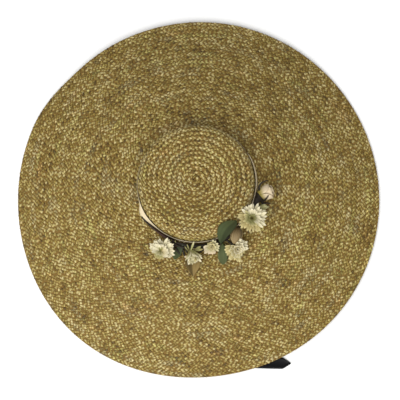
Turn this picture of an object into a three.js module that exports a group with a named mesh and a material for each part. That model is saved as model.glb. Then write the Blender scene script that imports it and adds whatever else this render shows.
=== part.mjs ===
import * as THREE from 'three';
import { mergeVertices } from 'three/addons/utils/BufferGeometryUtils.js';

// A wide, gently conical hat of sewn straw braid with a low crown, resting on its rim.
// Millimetres, +Z up, the floor at z = 0, the rim centred on the origin.

// Driving sizes of the straw body
const RIM_RADIUS = 215;
const FOOT_HEIGHT = 62;
const STRAW = 2.2;
const CROWN_RADIUS = 67;
const CROWN_RISE = 27;
const CROWN_SHOULDER = 12.5;
const CROWN_LEAN = 1.2;
const CROWN_DOME = 1.4;
const CROWN_X = 4;
const CROWN_Y = 2.6;
const INNER_SLOPE = 9;
const OUTER_SLOPE = 26;
const BEND_SHARE = 0.5;
const CLEAR = 0.3;

// Driving sizes of the trim
const RIBBON_WIDTH = 9;
const RIBBON_THICK = 0.6;
const STEM_THICK = 2.2;
const STALK_THICK = 2.2;
const GARLAND_BREADTH = 40;
const BLOOM_RADIUS = 16.2;
const BLOOM_DEPTH = 9;
const LEAF_BREADTH = 8;
const LEAF_THICK = 1;
const BUD_RADIUS = 7.4;
const BUD_LENGTH = 17;
const CALYX_THICK = 4.4;
const TIE_WIDTH = 13;
const TIE_THICK = 0.8;
const TIE_SPEAR = 9;

// The rim by azimuth, counter-clockwise from +X: its reach as a share of the rim radius,
// and how far it stands off the floor as a share of the foot's height. The hat rests on
// its two sides.
const RIM = [
  { azimuth: 0, reach: 1.0026, lift: 0.01 },
  { azimuth: 15, reach: 0.999, lift: 0 },
  { azimuth: 30, reach: 0.9975, lift: 0 },
  { azimuth: 60, reach: 1.001, lift: 0.04 },
  { azimuth: 90, reach: 1.001, lift: 0.073 },
  { azimuth: 107, reach: 1.0, lift: 0.084 },
  { azimuth: 120, reach: 0.991, lift: 0.089 },
  { azimuth: 132, reach: 0.9925, lift: 0.065 },
  { azimuth: 140, reach: 0.9985, lift: 0.039 },
  { azimuth: 147, reach: 1.0095, lift: 0.023 },
  { azimuth: 165, reach: 1.003, lift: 0 },
  { azimuth: 181, reach: 0.996, lift: 0 },
  { azimuth: 197, reach: 0.998, lift: 0 },
  { azimuth: 217, reach: 1.003, lift: 0.023 },
  { azimuth: 237, reach: 1.0055, lift: 0.073 },
  { azimuth: 250, reach: 1.003, lift: 0.129 },
  { azimuth: 264, reach: 0.9945, lift: 0.171 },
  { azimuth: 276, reach: 0.9925, lift: 0.194 },
  { azimuth: 290, reach: 0.996, lift: 0.168 },
  { azimuth: 302, reach: 1.001, lift: 0.129 },
  { azimuth: 318, reach: 1.0045, lift: 0.074 },
  { azimuth: 330, reach: 1.0075, lift: 0.045 },
  { azimuth: 345, reach: 1.001, lift: 0.019 },
];

// The ribbon round the crown by azimuth: how far it lies over from the wall, in degrees.
const RIBBON = [
  { azimuth: 34, over: 6 },
  { azimuth: 120, over: 6 },
  { azimuth: 190, over: 8 },
  { azimuth: 199, over: 30 },
  { azimuth: 206, over: 66 },
  { azimuth: 212, over: 66 },
  { azimuth: 218, over: 20 },
  { azimuth: 224, over: 6 },
  { azimuth: 386, over: 6 },
];

// The ties' routes: azimuth, how far out between the inside of the crown's wall and the
// rim, and height as a share of the foot's height, where 0 lies on the floor.
const TIE_LEFT = [
  { azimuth: 205.0, out: 0, height: 1.065 },
  { azimuth: 205.0, out: 0.0014, height: 0.871 },
  { azimuth: 205.0, out: 0.0218, height: 0.548 },
  { azimuth: 205.5, out: 0.074, height: 0.21 },
  { azimuth: 208.9, out: 0.1727, height: 0.039 },
  { azimuth: 216.9, out: 0.3063, height: 0 },
  { azimuth: 229.9, out: 0.4741, height: 0 },
  { azimuth: 245.1, out: 0.6225, height: 0 },
  { azimuth: 260.5, out: 0.7372, height: 0 },
  { azimuth: 275.8, out: 0.8412, height: 0 },
  { azimuth: 288.3, out: 0.9419, height: 0 },
  { azimuth: 299.0, out: 1.0667, height: 0 },
];
const TIE_RIGHT = [
  { azimuth: 335.0, out: 0, height: 1.065 },
  { azimuth: 335.0, out: 0.0014, height: 0.871 },
  { azimuth: 335.0, out: 0.0229, height: 0.548 },
  { azimuth: 335.5, out: 0.0784, height: 0.21 },
  { azimuth: 337.5, out: 0.1808, height: 0.039 },
  { azimuth: 343.3, out: 0.3355, height: 0 },
  { azimuth: 353.8, out: 0.5184, height: 0 },
  { azimuth: 366.8, out: 0.6423, height: 0 },
  { azimuth: 380.7, out: 0.724, height: 0 },
  { azimuth: 394.8, out: 0.7641, height: 0 },
  { azimuth: 409.6, out: 0.7729, height: 0 },
  { azimuth: 422.5, out: 0.7677, height: 0 },
];

// The dried flowers: the bloom's middle by azimuth round the crown and share of the
// garland's breadth out from the wall, its size and depth as shares of the bloom sizes,
// its stalk as a share of the crown's rise, how far the face leans and to which azimuth.
const BLOOMS = [
  { name: 'flower_1', azimuth: 242.2, out: 0.4375, size: 0.79, depth: 0.89, stalk: 0.055, lean: 24, heading: 150 },
  { name: 'flower_2', azimuth: 267.5, out: 0.2975, size: 0.68, depth: 1, stalk: 0.055, lean: 48, heading: 312 },
  { name: 'flower_3', azimuth: 281.7, out: 0.285, size: 0.506, depth: 0.83, stalk: 0.055, lean: 38, heading: 250 },
  { name: 'flower_4', azimuth: 300.9, out: 0.5975, size: 0.716, depth: 1, stalk: 0.055, lean: 42, heading: 318 },
  { name: 'flower_5', azimuth: 326, out: 0.2375, size: 1, depth: 0.78, stalk: 0.63, lean: 8, heading: 328 },
];

// The leaves lying on the brim: base and tip by azimuth and share of the garland's
// breadth, arch and widest breadth as shares of the leaf breadth, fold in degrees.
const LEAVES = [
  { name: 'leaf_left', azimuth: 255.5, out: 0.1625, tipAzimuth: 252, tipOut: 0.6375, arch: 0.25, broad: 0.75, fold: 10 },
  { name: 'leaf_mid', azimuth: 292.6, out: 0.3075, tipAzimuth: 286.8, tipOut: 0.8125, arch: 0.2, broad: 1, fold: 8 },
  { name: 'leaf_tan', azimuth: 267.8, out: 0.627, tipAzimuth: 268.2, tipOut: 1.004, arch: 0.125, broad: 2.375, fold: 14 },
  { name: 'leaf_tip', azimuth: 333.9, out: 0.2875, tipAzimuth: 342.3, tipOut: 0.515, arch: 0.125, broad: 0.81, fold: 8 },
];

// The big leaf beside the crown: base and tip as above, heights as shares of the rise.
const BIG_LEAF = {
  azimuth: 293.2,
  out: 0.135,
  height: 0.52,
  tipAzimuth: 317,
  tipOut: 0.034,
  tipHeight: 0.83,
  arch: 0.425,
  broad: 1.75,
  fold: -4,
  bank: 24,
};

// The closed heads: middle by azimuth and share of the garland's breadth, size as a
// share of the bud sizes, the azimuth they point to and how far they point up.
const PODS = [
  { name: 'bud_brown', azimuth: 306.9, out: 0.2475, size: 0.73, length: 0.88, heading: 104, rise: 12 },
  { name: 'rosebud', azimuth: 351.8, out: 0.365, size: 1, length: 1, heading: 36, rise: 8 },
];
const CALYX = [
  { azimuth: 340.9, out: 0.16 },
  { azimuth: 343.6, out: 0.18 },
  { azimuth: 346.0, out: 0.205 },
];

const TONES = {
  brim: 0x8d7946,
  crown: 0x8a7846,
  crown_ribbon: 0xc3b290,
  garland_stem: 0x3c2a1c,
  flower_1: 0xded8b4,
  flower_2: 0xc8be8a,
  flower_3: 0xcdb990,
  flower_4: 0xdaca9d,
  flower_5: 0xd5cca4,
  leaf_left: 0x4f5a2e,
  leaf_mid: 0x5a5e36,
  leaf_tan: 0x8a7443,
  leaf_tip: 0x9ea071,
  leaf_big: 0x3a3c18,
  bud_brown: 0x77603a,
  rosebud: 0xcdb99b,
  calyx: 0x2a1d08,
  tie_left: 0x121117,
  tie_right: 0x121117,
};

const up = new THREE.Vector3(0, 0, 1);
const rad = THREE.MathUtils.degToRad;
const lerp = THREE.MathUtils.lerp;

// A smooth value between the rows of a table, by a key column.
function between(rows, key, column, at) {
  const last = rows.length - 1;
  let i = 0;
  while (i < last - 1 && at > rows[i + 1][key]) {
    i += 1;
  }
  const slope = (a, b) => (rows[b][column] - rows[a][column]) / (rows[b][key] - rows[a][key]);
  const run = rows[i + 1][key] - rows[i][key];
  const start = slope(Math.max(i - 1, 0), i + 1);
  const end = slope(i, Math.min(i + 2, last));
  const t = THREE.MathUtils.clamp((at - rows[i][key]) / run, 0, 1);
  const t2 = t * t;
  const t3 = t2 * t;
  return (
    (2 * t3 - 3 * t2 + 1) * rows[i][column] +
    (t3 - 2 * t2 + t) * run * start +
    (3 * t2 - 2 * t3) * rows[i + 1][column] +
    (t3 - t2) * run * end
  );
}

// The rim table carried on past a full turn on both sides, so its curve closes.
const rimRows = [-360, 0, 360].flatMap((turn) =>
  RIM.map((row) => ({ ...row, azimuth: row.azimuth + turn })),
);

// How much of the brim's whole drop is reached at a share of its breadth.
function fall(share) {
  const inner = Math.tan(rad(INNER_SLOPE));
  const outer = Math.tan(rad(OUTER_SLOPE));
  const curved = (s) => inner * s + ((outer - inner) * s * s) / (2 * BEND_SHARE);
  const whole = curved(BEND_SHARE) + outer * (1 - BEND_SHARE);
  if (share < BEND_SHARE) {
    return curved(share) / whole;
  }
  return (curved(BEND_SHARE) + outer * (share - BEND_SHARE)) / whole;
}

// The rim's radius at an azimuth.
function rimReach(azimuth) {
  const turn = THREE.MathUtils.euclideanModulo(azimuth, 360);
  return RIM_RADIUS * between(rimRows, 'azimuth', 'reach', turn);
}

// A point of the brim's upper face, share 0 at the crown and 1 at the rim.
function brimPoint(share, azimuth) {
  const turn = THREE.MathUtils.euclideanModulo(azimuth, 360);
  const lift = FOOT_HEIGHT * Math.max(0, between(rimRows, 'azimuth', 'lift', turn));
  const radius = lerp(CROWN_RADIUS + CLEAR, rimReach(azimuth), share);
  const drop = FOOT_HEIGHT - STRAW - lift;
  return new THREE.Vector3(
    CROWN_X * (1 - share) + radius * Math.cos(rad(azimuth)),
    CROWN_Y * (1 - share) + radius * Math.sin(rad(azimuth)),
    FOOT_HEIGHT - drop * fall(share),
  );
}

// The height of the brim's upper face over a place in plan.
function brimHeight(x, y) {
  let share = 0;
  let azimuth = 0;
  for (let i = 0; i < 12; i += 1) {
    const dx = x - CROWN_X * (1 - share);
    const dy = y - CROWN_Y * (1 - share);
    azimuth = THREE.MathUtils.radToDeg(Math.atan2(dy, dx));
    const inner = CROWN_RADIUS + CLEAR;
    share = (Math.hypot(dx, dy) - inner) / (rimReach(azimuth) - inner);
  }
  return brimPoint(THREE.MathUtils.clamp(share, 0, 1), azimuth).z;
}

// A place in plan by azimuth round the crown and distance out from its wall.
function fromWall(azimuth, out) {
  const radius = CROWN_RADIUS + out;
  return new THREE.Vector3(
    CROWN_X + radius * Math.cos(rad(azimuth)),
    CROWN_Y + radius * Math.sin(rad(azimuth)),
    0,
  );
}

// Welds a closed surface, turns its faces outward and names it.
function solid(name, geometry, roughness) {
  geometry.deleteAttribute('normal');
  geometry.deleteAttribute('uv');
  const welded = mergeVertices(geometry, 1e-3);
  const at = welded.getAttribute('position');
  const order = welded.getIndex();
  const corners = [0, 1, 2].map(() => new THREE.Vector3());
  const kept = [];
  let volume = 0;
  for (let i = 0; i < order.count; i += 3) {
    const face = [order.getX(i), order.getX(i + 1), order.getX(i + 2)];
    if (new Set(face).size === 3) {
      kept.push(face);
      face.forEach((index, k) => corners[k].fromBufferAttribute(at, index));
      volume += corners[0].dot(corners[1].cross(corners[2]));
    }
  }
  welded.setIndex(kept.flatMap((face) => (volume < 0 ? face.reverse() : face)));
  welded.computeVertexNormals();
  const material = new THREE.MeshStandardMaterial({
    color: TONES[name],
    roughness,
    metalness: 0,
  });
  const mesh = new THREE.Mesh(welded, material);
  mesh.name = name;
  return mesh;
}

// Moves every vertex of a geometry through a function of its place.
function reshape(geometry, place) {
  const at = geometry.getAttribute('position');
  const point = new THREE.Vector3();
  for (let i = 0; i < at.count; i += 1) {
    point.fromBufferAttribute(at, i);
    const moved = place(point);
    at.setXYZ(i, moved.x, moved.y, moved.z);
  }
  return geometry;
}

// Sets a piece down so that its lowest vertex is just clear of the brim.
function seat(geometry) {
  const at = geometry.getAttribute('position');
  let lowest = Infinity;
  for (let i = 0; i < at.count; i += 1) {
    lowest = Math.min(lowest, at.getZ(i) - brimHeight(at.getX(i), at.getY(i)));
  }
  return geometry.translate(0, 0, CLEAR - lowest);
}

const group = new THREE.Group();
group.name = 'straw_hat';

// Brim: a closed ring whose profile runs out along the upper face and back below.
const BRIM_STEPS = 9;
const BRIM_SIDES = 72;
const shares = Array.from({ length: BRIM_STEPS + 1 }, (_, i) => i / BRIM_STEPS);
const brimProfile = [
  ...shares.map((share) => new THREE.Vector2(1 + share, 0)),
  ...shares.map((share) => new THREE.Vector2(2 - share, -1)),
  new THREE.Vector2(1, 0),
];
const brimShape = reshape(new THREE.LatheGeometry(brimProfile, BRIM_SIDES), (p) => {
  const azimuth = Math.round(THREE.MathUtils.radToDeg(Math.atan2(p.x, p.z)) * 1e4) / 1e4;
  const point = brimPoint(Math.hypot(p.x, p.z) - 1, azimuth);
  point.z += STRAW * p.y;
  return point;
});
group.add(solid('brim', brimShape, 0.72));

// Crown: a low drum with a leaning wall, a rounded shoulder and a nearly flat top,
// whose middle is flat inside and out.
const CROWN_SIDES = 60;
const topHeight = FOOT_HEIGHT + CROWN_RISE;
const shoulderReach = CROWN_RADIUS - CROWN_LEAN - CROWN_SHOULDER;
const shoulderHeight = topHeight - CROWN_DOME - CROWN_SHOULDER;
const TOP = [
  { reach: 0, dip: 0 },
  { reach: 0.25, dip: 0 },
  { reach: 0.5, dip: 0.16 },
  { reach: 0.75, dip: 0.5 },
  { reach: 1, dip: 1 },
];
function crownLine(inset) {
  const points = TOP.map((row) => {
    const height = topHeight - inset - CROWN_DOME * row.dip;
    return new THREE.Vector2(shoulderReach * row.reach, height);
  });
  const edge = CROWN_SHOULDER - inset;
  for (let turn = 18; turn <= 90; turn += 18) {
    const reach = shoulderReach + edge * Math.sin(rad(turn));
    points.push(new THREE.Vector2(reach, shoulderHeight + edge * Math.cos(rad(turn))));
  }
  points.push(new THREE.Vector2(CROWN_RADIUS - inset, FOOT_HEIGHT - STRAW));
  return points;
}
const crownProfile = [...crownLine(0), ...crownLine(STRAW).reverse()];
const crownShape = new THREE.LatheGeometry(crownProfile, CROWN_SIDES)
  .rotateX(Math.PI / 2)
  .translate(CROWN_X, CROWN_Y, 0);
group.add(solid('crown', crownShape, 0.72));

// A flat strip bent along a path: across, through and along the unit box.
function strip(thick, steps, path) {
  const box = new THREE.BoxGeometry(1, 1, 1, steps.across, 1, steps.along);
  return reshape(box, (p) => {
    const frame = path(p.z + 0.5);
    return frame.place
      .clone()
      .addScaledVector(frame.across, p.x * frame.breadth)
      .addScaledVector(frame.through, p.y * thick);
  });
}

// Crown ribbon: a satin band round the wall, lying over where it twists at the left.
const ribbonStart = RIBBON[0].azimuth;
const ribbonEnd = RIBBON[RIBBON.length - 1].azimuth;
const ribbonShape = strip(RIBBON_THICK, { across: 1, along: 110 }, (t) => {
  const azimuth = lerp(ribbonStart, ribbonEnd, t);
  const over = rad(between(RIBBON, 'azimuth', 'over', azimuth));
  const out = new THREE.Vector3(Math.cos(rad(azimuth)), Math.sin(rad(azimuth)), 0);
  const bottom = CLEAR + RIBBON_THICK + RIBBON_WIDTH * Math.sin(over);
  const place = fromWall(azimuth, bottom);
  const across = out.clone().multiplyScalar(-Math.sin(over)).addScaledVector(up, Math.cos(over));
  place.z = brimHeight(place.x, place.y) + CLEAR + RIBBON_THICK / 2;
  place.addScaledVector(across, RIBBON_WIDTH / 2);
  const through = across.clone().cross(new THREE.Vector3(-out.y, out.x, 0));
  return { place, across, through, breadth: RIBBON_WIDTH };
});
group.add(solid('crown_ribbon', ribbonShape, 0.35));

// Garland stem: a thin dark stalk lying on the brim against the ribbon.
const STEM_START = 225;
const STEM_END = 316;
const stemOut = 2 * CLEAR + 2 * RIBBON_THICK + STEM_THICK / 2 + RIBBON_WIDTH * Math.sin(rad(6)) / 2;
const stemPoints = Array.from({ length: 13 }, (_, i) => {
  const place = fromWall(lerp(STEM_START, STEM_END, i / 12), stemOut);
  place.z = brimHeight(place.x, place.y) + CLEAR + STEM_THICK / 2;
  return place;
});
function rod(points, radius, steps) {
  const round = new THREE.Shape().absarc(0, 0, radius, 0, Math.PI * 2);
  const extrudePath = new THREE.CatmullRomCurve3(points);
  return new THREE.ExtrudeGeometry(round, { steps, curveSegments: 4, extrudePath });
}
group.add(solid('garland_stem', rod(stemPoints, STEM_THICK / 2, 28), 0.6));

// Turns a piece that points up so that it leans by an angle to an azimuth.
function lean(angle, heading) {
  const axis = new THREE.Vector3(-Math.sin(rad(heading)), Math.cos(rad(heading)), 0);
  return new THREE.Quaternion().setFromAxisAngle(axis, rad(angle));
}

// Blooms: a shallow dish on a narrow stalk, leaned and set down on the brim.
const BLOOM_LINE = [
  { reach: 0.2, height: 0.06 },
  { reach: 0.42, height: 0.4 },
  { reach: 0.76, height: 0.8 },
  { reach: 1, height: 0.98 },
  { reach: 0.98, height: 1.08 },
  { reach: 0.7, height: 1.02 },
  { reach: 0.36, height: 0.86 },
  { reach: 0, height: 0.8 },
];
BLOOMS.forEach((row) => {
  const radius = BLOOM_RADIUS * row.size;
  const depth = BLOOM_DEPTH * row.depth;
  const stalk = CROWN_RISE * row.stalk;
  const profile = [
    new THREE.Vector2(0, -stalk),
    new THREE.Vector2(STALK_THICK / 2, -stalk),
    new THREE.Vector2(STALK_THICK / 2, 0),
    ...BLOOM_LINE.map((at) => new THREE.Vector2(radius * at.reach, depth * at.height)),
  ];
  const middle = fromWall(row.azimuth, GARLAND_BREADTH * row.out);
  const shape = new THREE.LatheGeometry(profile, 18)
    .rotateX(Math.PI / 2)
    .translate(0, 0, -depth)
    .applyQuaternion(lean(row.lean, row.heading))
    .translate(middle.x, middle.y, FOOT_HEIGHT);
  group.add(solid(row.name, seat(shape), 0.65));
});

// Leaves: a pointed blade, arched along its length and folded a little at its midrib.
function blade(row, base, tip, bank) {
  const along = tip.clone().sub(base);
  const side = new THREE.Vector3(-along.y, along.x, 0).normalize();
  const across = side.multiplyScalar(Math.cos(rad(bank))).addScaledVector(up, Math.sin(rad(bank)));
  const through = along.clone().normalize().cross(across).negate();
  const box = new THREE.BoxGeometry(1, 1, 1, 4, 1, 10);
  return reshape(box, (p) => {
    const t = p.z + 0.5;
    const swell = 0.06 + 0.94 * Math.sin(Math.PI * Math.pow(t, 0.8));
    const x = p.x * LEAF_BREADTH * row.broad * swell;
    const arch = LEAF_BREADTH * row.arch * 4 * t * (1 - t);
    return base
      .clone()
      .addScaledVector(along, t)
      .addScaledVector(across, x)
      .addScaledVector(through, p.y * LEAF_THICK)
      .addScaledVector(up, arch + Math.abs(x) * Math.tan(rad(row.fold)));
  });
}
LEAVES.forEach((row) => {
  const base = fromWall(row.azimuth, GARLAND_BREADTH * row.out);
  const tip = fromWall(row.tipAzimuth, GARLAND_BREADTH * row.tipOut);
  base.z = brimHeight(base.x, base.y);
  tip.z = brimHeight(tip.x, tip.y);
  group.add(solid(row.name, seat(blade(row, base, tip, 0)), 0.6));
});

// The big dark leaf stands beside the crown and leans over its shoulder.
const bigBase = fromWall(BIG_LEAF.azimuth, GARLAND_BREADTH * BIG_LEAF.out);
const bigTip = fromWall(BIG_LEAF.tipAzimuth, GARLAND_BREADTH * BIG_LEAF.tipOut);
bigBase.z = FOOT_HEIGHT + CROWN_RISE * BIG_LEAF.height;
bigTip.z = FOOT_HEIGHT + CROWN_RISE * BIG_LEAF.tipHeight;
group.add(solid('leaf_big', blade(BIG_LEAF, bigBase, bigTip, BIG_LEAF.bank), 0.6));

// Closed heads: a brown bud below the big leaf, and a dried rosebud.
const BUD_LINE = [
  { along: 0, reach: 0 },
  { along: 0.03, reach: 0.4 },
  { along: 0.2, reach: 0.85 },
  { along: 0.42, reach: 1 },
  { along: 0.68, reach: 0.84 },
  { along: 0.9, reach: 0.46 },
  { along: 1, reach: 0 },
];
PODS.forEach((row) => {
  const radius = BUD_RADIUS * row.size;
  const length = BUD_LENGTH * row.length;
  const profile = BUD_LINE.map((at) => new THREE.Vector2(radius * at.reach, length * at.along));
  const middle = fromWall(row.azimuth, GARLAND_BREADTH * row.out);
  const shape = new THREE.LatheGeometry(profile, 14)
    .rotateX(Math.PI / 2)
    .translate(0, 0, -length / 2)
    .applyQuaternion(lean(90 - row.rise, row.heading))
    .translate(middle.x, middle.y, FOOT_HEIGHT);
  group.add(solid(row.name, seat(shape), 0.65));
});

// Calyx: the rosebud's thick dark stalk, which comes from under the open flower.
const calyxPoints = CALYX.map((row) => {
  const place = fromWall(row.azimuth, GARLAND_BREADTH * row.out);
  place.z = brimHeight(place.x, place.y) + CLEAR + CALYX_THICK / 2;
  return place;
});
group.add(solid('calyx', seat(rod(calyxPoints, CALYX_THICK / 2, 6)), 0.7));

// Ties: narrow satin strips sewn inside the foot of the crown, hanging to the floor
// and lying flat on it under the brim. The left one's pointed end reaches out in front.
const bulge = (TIE_WIDTH * TIE_WIDTH) / (8 * CROWN_RADIUS);
const tieInner = CROWN_RADIUS - CROWN_LEAN - STRAW - bulge - CLEAR;
function tie(name, rows) {
  const points = rows.map((row) => {
    const radius = lerp(tieInner, RIM_RADIUS, row.out);
    return new THREE.Vector3(
      CROWN_X * (1 - row.out) + radius * Math.cos(rad(row.azimuth)),
      CROWN_Y * (1 - row.out) + radius * Math.sin(rad(row.azimuth)),
      Math.max(FOOT_HEIGHT * row.height, TIE_THICK / 2 + CLEAR / 2),
    );
  });
  const curve = new THREE.CatmullRomCurve3(points, false, 'centripetal');
  const length = curve.getLength();
  const shape = strip(TIE_THICK, { across: 2, along: 72 }, (t) => {
    const place = curve.getPointAt(t);
    const along = curve.getTangentAt(t);
    const across = new THREE.Vector3(-along.y, along.x, 0).normalize();
    const left = Math.min(1, ((1 - t) * length) / TIE_SPEAR);
    const breadth = TIE_WIDTH * (0.06 + 0.94 * left);
    return { place, across, through: along.clone().cross(across), breadth };
  });
  return solid(name, shape, 0.4);
}
group.add(tie('tie_left', TIE_LEFT));
group.add(tie('tie_right', TIE_RIGHT));

export default group;
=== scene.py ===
# %% [markdown]
# # A worn straw hat with dried flowers
# The hat is one long plaited straw braid, sewn row over row in a spiral: first the low
# crown, then the wide sloping brim. A pale satin ribbon and a garland of dried flowers
# lie round the foot of the crown, and two black satin ties hang from its inside. The
# solids of the CAD part give every place and size. This script dresses them: it lays
# real braid over the same surfaces, and puts real petals where the solids have dishes.

import math

import bmesh
import bpy
import numpy as np
from mathutils import Matrix, Vector, noise


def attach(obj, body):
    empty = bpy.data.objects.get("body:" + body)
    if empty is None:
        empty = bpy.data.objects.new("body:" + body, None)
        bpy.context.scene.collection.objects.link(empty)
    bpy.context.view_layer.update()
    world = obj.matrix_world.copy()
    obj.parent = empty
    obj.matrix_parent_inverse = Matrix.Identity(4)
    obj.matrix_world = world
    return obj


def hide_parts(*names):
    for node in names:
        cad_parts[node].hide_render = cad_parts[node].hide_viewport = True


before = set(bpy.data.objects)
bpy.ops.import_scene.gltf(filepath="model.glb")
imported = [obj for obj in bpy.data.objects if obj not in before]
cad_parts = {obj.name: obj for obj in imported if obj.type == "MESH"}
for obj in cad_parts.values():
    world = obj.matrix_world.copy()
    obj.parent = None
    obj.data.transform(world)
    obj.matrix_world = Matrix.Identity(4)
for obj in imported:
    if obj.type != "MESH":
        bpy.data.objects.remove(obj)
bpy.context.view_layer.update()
MM = 0.001

# %% [markdown]
# ## The camera
# The hat is seen almost straight from above. Its rim is very nearly a circle in the
# picture, and the crown sits a little above the rim's middle, which gives a camera
# 11.5 degrees off the vertical, on the side of the garland.

# %% Camera
def add_object(name, data):
    """A new object of the scene, from its mesh, camera or lamp."""
    made = bpy.data.objects.new(name, data)
    bpy.context.scene.collection.objects.link(made)
    return made


CAMERA_TILT = 11.5
CAMERA_AZIMUTH = 288.0
CAMERA_DISTANCE = 1500.0
CAMERA_TARGET = Vector((3.89, -3.66, 0.0))
PICTURE_WIDTH = 475.43

tilt, swing = math.radians(CAMERA_TILT), math.radians(CAMERA_AZIMUTH)
back = Vector(
    (math.sin(tilt) * math.cos(swing), math.sin(tilt) * math.sin(swing), math.cos(tilt))
)
picture_up = (Vector((0, 1, 0)) - back * back.y).normalized()
picture_right = picture_up.cross(back)
camera_data = bpy.data.cameras.new("camera")
camera_data.sensor_width = 36.0
camera_data.lens = 36.0 * CAMERA_DISTANCE / PICTURE_WIDTH
camera_data.clip_start = 0.05
camera_data.clip_end = 20.0
camera = add_object("camera", camera_data)
turned = Matrix((picture_right, picture_up, back)).transposed().to_4x4()
camera.matrix_world = (
    Matrix.Translation((CAMERA_TARGET + back * CAMERA_DISTANCE) * MM) @ turned
)
bpy.context.scene.camera = camera
print("lens in millimetres:", round(camera_data.lens, 2))

# %% [markdown]
# ## Floor and light
# The hat rests on its rim on a plain white floor. One very wide soft lamp stands above
# and in front, a little to the left, so the near side of the brim is lighter than the far
# side, and a pale world fills the shadows. The Standard view shows every colour as it is
# chosen here, so the floor comes out white and the straw keeps its gold.


# %% Floor and lamps
def plain_finish(name, colour, roughness):
    finish = bpy.data.materials.new(name)
    finish.use_nodes = True
    shader = finish.node_tree.nodes["Principled BSDF"]
    shader.inputs["Base Color"].default_value = (*colour, 1.0)
    shader.inputs["Roughness"].default_value = roughness
    return finish


def linear(red, green, blue):
    """A colour as read on a screen, 0 to 255, as the shader's linear light."""
    channels = np.array([red, green, blue]) / 255.0
    return tuple(np.where(channels < 0.04045, channels / 12.92, ((channels + 0.055) / 1.055) ** 2.4))


floor_shape = bmesh.new()
bmesh.ops.create_grid(floor_shape, x_segments=1, y_segments=1, size=3.0)
floor_mesh = bpy.data.meshes.new("floor")
floor_shape.to_mesh(floor_mesh)
floor_shape.free()
floor = add_object("floor", floor_mesh)
floor_mesh.materials.append(plain_finish("floor_white", linear(245, 245, 244), 0.9))

world = bpy.data.worlds.new("studio")
world.use_nodes = True
world.node_tree.nodes["Background"].inputs["Color"].default_value = (1.0, 1.0, 1.0, 1.0)
world.node_tree.nodes["Background"].inputs["Strength"].default_value = 0.69
bpy.context.scene.world = world
bpy.context.scene.view_settings.view_transform = "Standard"


def soft_lamp(name, place, aim, breadth, watts):
    lamp_data = bpy.data.lights.new(name, "AREA")
    lamp_data.shape = "DISK"
    lamp_data.size = breadth
    lamp_data.energy = watts
    lamp = add_object(name, lamp_data)
    lamp.location = place
    lamp.rotation_euler = (Vector(aim) - Vector(place)).to_track_quat("-Z", "Y").to_euler()


soft_lamp("key_lamp", (-0.35, -0.97, 1.23), (0.0, 0.0, 0.0), 1.8, 30.0)
print("floor and lamps are in place")

# %% [markdown]
# ## The straw surfaces
# The braid has to lie where the CAD solids are, so the script repeats their few sizes:
# the rim's reach and lift by azimuth, and how the brim falls from the crown to the rim.
# All modelling is in millimetres, and each mesh is scaled to metres when it is finished.

# %% The brim's surface
RIM_RADIUS = 215.0
FOOT_HEIGHT = 62.0
STRAW = 2.2
CROWN_RADIUS = 67.0
CROWN_MIDDLE = np.array([4.0, 2.6])
WALL_LEAN = 1.2
CLEAR = 0.3
BRIM_START = CROWN_RADIUS + CLEAR
INNER_SLOPE = math.tan(math.radians(9.0))
OUTER_SLOPE = math.tan(math.radians(26.0))
BEND_SHARE = 0.5
# azimuth, reach as a share of the rim radius, lift as a share of the foot's height
RIM = np.array(
    [
        (0, 1.0026, 0.010),
        (15, 0.999, 0.0),
        (30, 0.9975, 0.0),
        (60, 1.001, 0.040),
        (90, 1.001, 0.073),
        (107, 1.000, 0.084),
        (120, 0.991, 0.089),
        (132, 0.9925, 0.065),
        (140, 0.9985, 0.039),
        (147, 1.0095, 0.023),
        (165, 1.003, 0.0),
        (181, 0.996, 0.0),
        (197, 0.998, 0.0),
        (217, 1.003, 0.023),
        (237, 1.0055, 0.073),
        (250, 1.003, 0.129),
        (264, 0.9945, 0.171),
        (276, 0.9925, 0.194),
        (290, 0.996, 0.168),
        (302, 1.001, 0.129),
        (318, 1.0045, 0.074),
        (330, 1.0075, 0.045),
        (345, 1.001, 0.019),
    ]
)


def smooth_curve(keys, values, at):
    """A smooth value between the rows of a table."""
    keys, values = np.asarray(keys, float), np.asarray(values, float)
    last = len(keys) - 1
    i = np.clip(np.searchsorted(keys, at, side="left") - 1, 0, last - 1)
    before, after = np.maximum(i - 1, 0), np.minimum(i + 2, last)
    run = keys[i + 1] - keys[i]
    start = (values[i + 1] - values[before]) / (keys[i + 1] - keys[before])
    end = (values[after] - values[i]) / (keys[after] - keys[i])
    t = np.clip((at - keys[i]) / run, 0, 1)
    return (
        (2 * t**3 - 3 * t**2 + 1) * values[i]
        + (t**3 - 2 * t**2 + t) * run * start
        + (3 * t**2 - 2 * t**3) * values[i + 1]
        + (t**3 - t**2) * run * end
    )


turns_of_rim = np.concatenate([RIM[:, 0] - 360, RIM[:, 0], RIM[:, 0] + 360])


def rim_value(column, azimuth):
    return smooth_curve(turns_of_rim, np.tile(RIM[:, column], 3), azimuth % 360.0)


def fall(share):
    """How much of the brim's whole drop is reached at a share of its breadth."""
    curved = lambda s: INNER_SLOPE * s + (OUTER_SLOPE - INNER_SLOPE) * s * s / (2 * BEND_SHARE)
    bend = curved(BEND_SHARE)
    whole = bend + OUTER_SLOPE * (1 - BEND_SHARE)
    outer = bend + OUTER_SLOPE * (share - BEND_SHARE)
    return np.where(share < BEND_SHARE, curved(share), outer) / whole


print("rim reach in front, mm:", round(float(RIM_RADIUS * rim_value(1, np.array(270.0))), 1))

# %% [markdown]
# ## How the braid runs
# Seen from above the spiral runs outward clockwise. The braid's end is sewn down at the
# back left, where the rim has a small step. Counting rows outward from the crown's foot
# gives each place on the brim a row number and an azimuth, and the rows' spacing changes
# a little round the hat. It is found from the rim's reach, smoothed by a few waves.

# %% Rows of the brim
END_AZIMUTH = 128.0
END_TAPER = 28.0
BRIM_ROWS = 27
BRAID_OVERLAP = 1.3


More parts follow.
